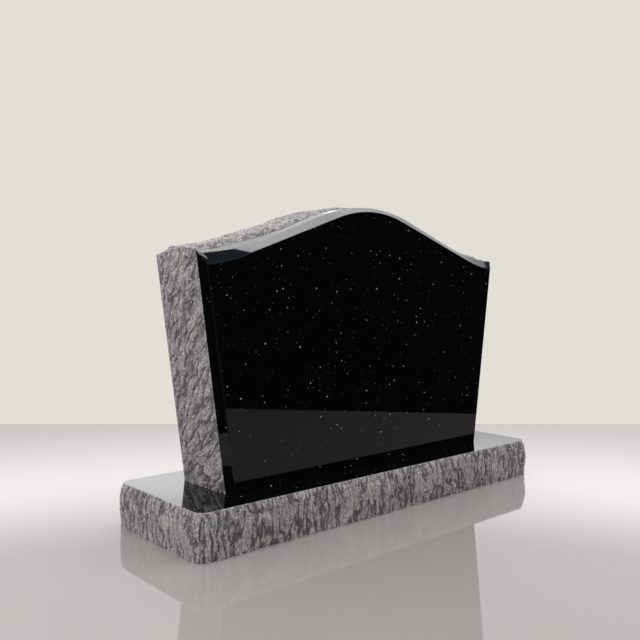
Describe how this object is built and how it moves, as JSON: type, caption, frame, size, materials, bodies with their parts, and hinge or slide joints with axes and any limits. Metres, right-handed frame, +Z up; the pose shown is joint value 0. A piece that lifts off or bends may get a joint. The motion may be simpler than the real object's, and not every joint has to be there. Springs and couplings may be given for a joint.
{
  "type": "headstone",
  "caption": "Upright black granite tablet with a serpentine top, bevelled face and rock-pitched ends, standing on a rectangular base.",
  "frame": {"origin": "centre of the base's underside", "axes": "+X along the width, to the right of someone who reads the face; +Y from the face to the back; +Z up"},
  "size_m": [0.916, 0.289, 0.6046],
  "materials": {
    "base_granite": "polished black top with rock-pitched grey edges",
    "tablet_granite": "mirror-polished black face, bevels and top strip with fine pale flecks, rock-pitched grey ends and top"
  },
  "bodies": {
    "root": {"base": "base_granite", "tablet": "tablet_granite"}
  },
  "joints": []
}
